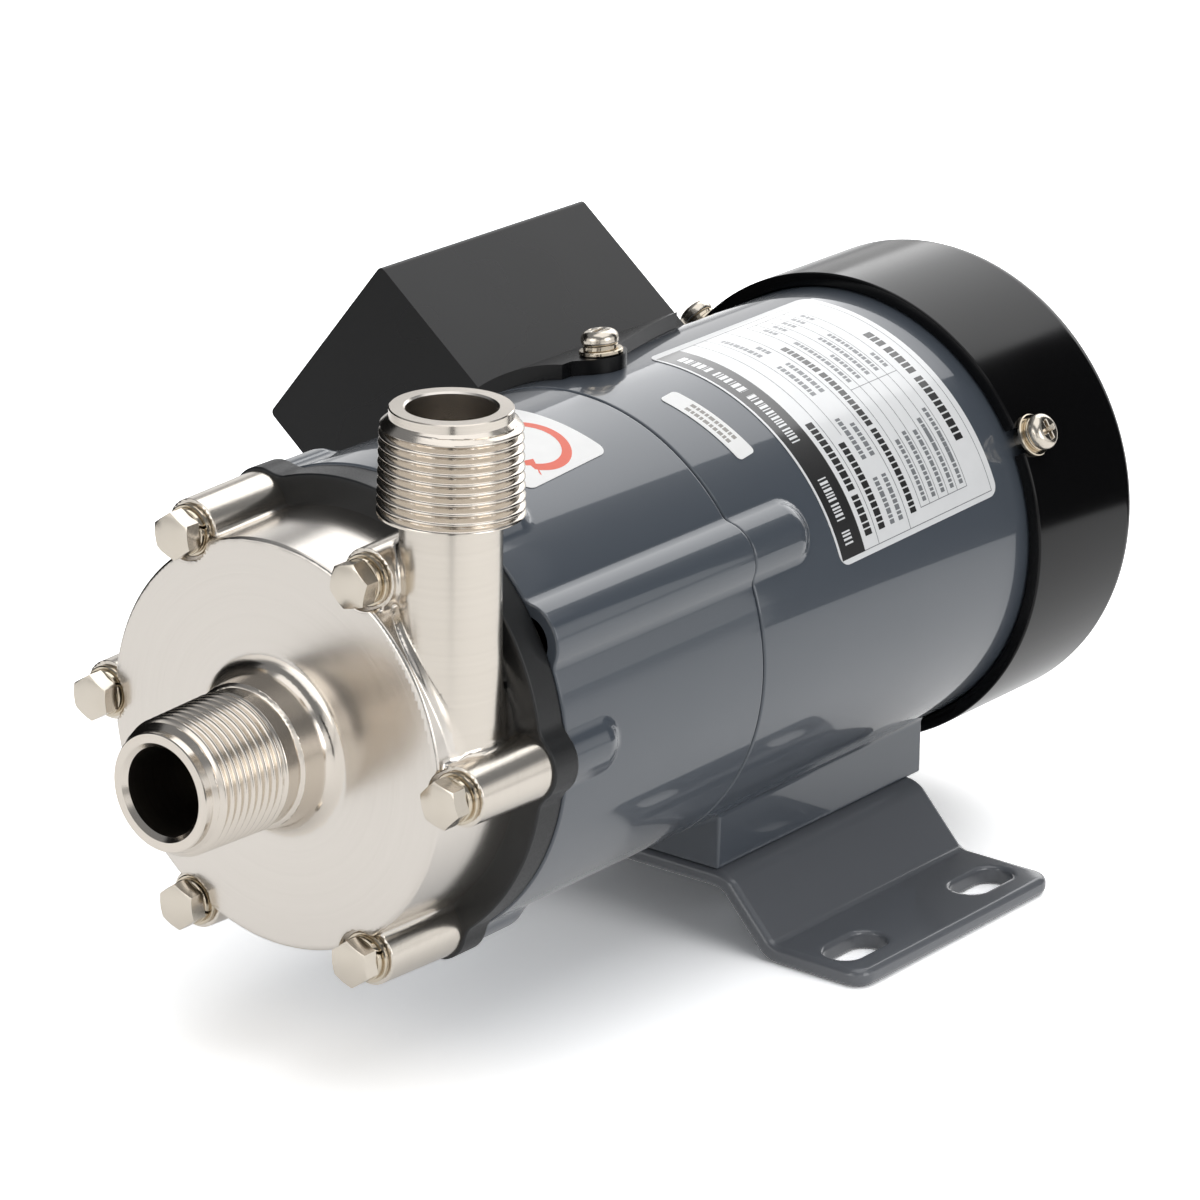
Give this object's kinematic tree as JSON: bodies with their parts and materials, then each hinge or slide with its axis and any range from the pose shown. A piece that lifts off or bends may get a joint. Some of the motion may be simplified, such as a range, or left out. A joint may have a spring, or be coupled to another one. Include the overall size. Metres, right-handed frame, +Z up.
{
  "type": "magnetic drive pump",
  "caption": "Magnetic drive pump with a stainless casing, threaded suction and discharge ports, a painted motor with a fan cover and terminal box, on a bent base plate.",
  "frame": {"origin": "centre of the suction port's end face, on the shaft's axis", "axes": "+Y along the shaft from the suction port to the fan cover, +Z up along the discharge port, +X to the side on which the discharge port stands"},
  "size_m": [0.1454, 0.245, 0.1361],
  "materials": {
    "stainless": "satin turned stainless steel",
    "bright_fastener": "bright nickel plated steel",
    "plain_steel": "ground steel",
    "black_moulding": "black moulded plastic, satin",
    "pale_moulding": "off-white moulded plastic",
    "blue_grey_paint": "glossy blue-grey paint",
    "dark_grey_paint": "satin dark grey paint",
    "black_paint": "satin black paint",
    "seal_rubber": "black rubber",
    "ceramic": "polished alumina ceramic",
    "carbon": "dry carbon",
    "magnet": "dark sintered magnet",
    "lamination_steel": "stacked sheet steel",
    "winding_copper": "varnished copper wire",
    "die_cast_aluminium": "plain die-cast aluminium",
    "zinc_plate": "zinc plated steel",
    "terminal_brass": "plain brass",
    "capacitor_case": "pale moulded case"
  },
  "bodies": {
    "housing": {"suction_port": "stainless", "pump_head": "stainless", "discharge_port": "stainless", "casing_bolts": "bright_fastener", "casing_lock_washers": "bright_fastener", "casing_flat_washers": "bright_fastener", "rear_casing": "black_moulding", "casing_o_ring": "seal_rubber", "spindle_support": "pale_moulding", "spindle": "ceramic", "front_thrust_washer": "ceramic", "rear_thrust_washer": "ceramic", "bracket": "blue_grey_paint", "tie_bolts": "bright_fastener", "tie_bolt_washers": "bright_fastener", "motor_frame": "blue_grey_paint", "stator_core": "lamination_steel", "stator_windings": "winding_copper", "bearing_outer_races": "plain_steel", "wave_washer": "plain_steel", "rear_end_shield": "die_cast_aluminium", "end_shield_screws": "zinc_plate", "fan_cover": "black_moulding", "fan_cover_screws": "bright_fastener", "fan_cover_lock_washers": "bright_fastener", "fan_cover_flat_washers": "bright_fastener", "terminal_box": "black_paint", "terminal_box_screws": "bright_fastener", "terminal_box_lock_washers": "bright_fastener", "terminal_box_flat_washers": "bright_fastener", "capacitor": "capacitor_case", "capacitor_strap": "zinc_plate", "terminal_block": "pale_moulding", "terminal_screws": "terminal_brass", "cable_grommet": "seal_rubber", "base_plate": "dark_grey_paint", "base_plate_screws": "zinc_plate", "base_plate_lock_washers": "zinc_plate"},
    "motor_rotor": {"motor_shaft": "plain_steel", "rotor_core": "lamination_steel", "rotor_end_rings": "die_cast_aluminium", "fan": "black_moulding", "fan_circlip": "plain_steel", "bearing_inner_races": "plain_steel", "drive_magnet_hub": "plain_steel", "hub_set_screw": "plain_steel", "drive_magnets": "magnet"},
    "wet_rotor": {"impeller": "pale_moulding", "impeller_bush": "carbon", "inner_magnet_yoke": "plain_steel", "inner_magnets": "magnet"},
    "ball_sets": {"bearing_balls": "plain_steel", "bearing_cages": "terminal_brass"}
  },
  "joints": [
    {"name": "motor_spin", "type": "hinge", "parent": "housing", "child": "motor_rotor", "pos_m": [0, 0.165, 0], "axis": [0, 1, 0], "continuous": true},
    {"name": "impeller_spin", "type": "hinge", "parent": "housing", "child": "wet_rotor", "pos_m": [0, 0.07, 0], "axis": [0, 1, 0], "continuous": true},
    {"name": "ball_set_spin", "type": "hinge", "parent": "housing", "child": "ball_sets", "pos_m": [0, 0.165, 0], "axis": [0, 1, 0], "continuous": true}
  ],
  "couplings": [
    {"joint": "impeller_spin", "follows": "motor_spin", "ratio": 1},
    {"joint": "ball_set_spin", "follows": "motor_spin", "ratio": 0.3918}
  ]
}
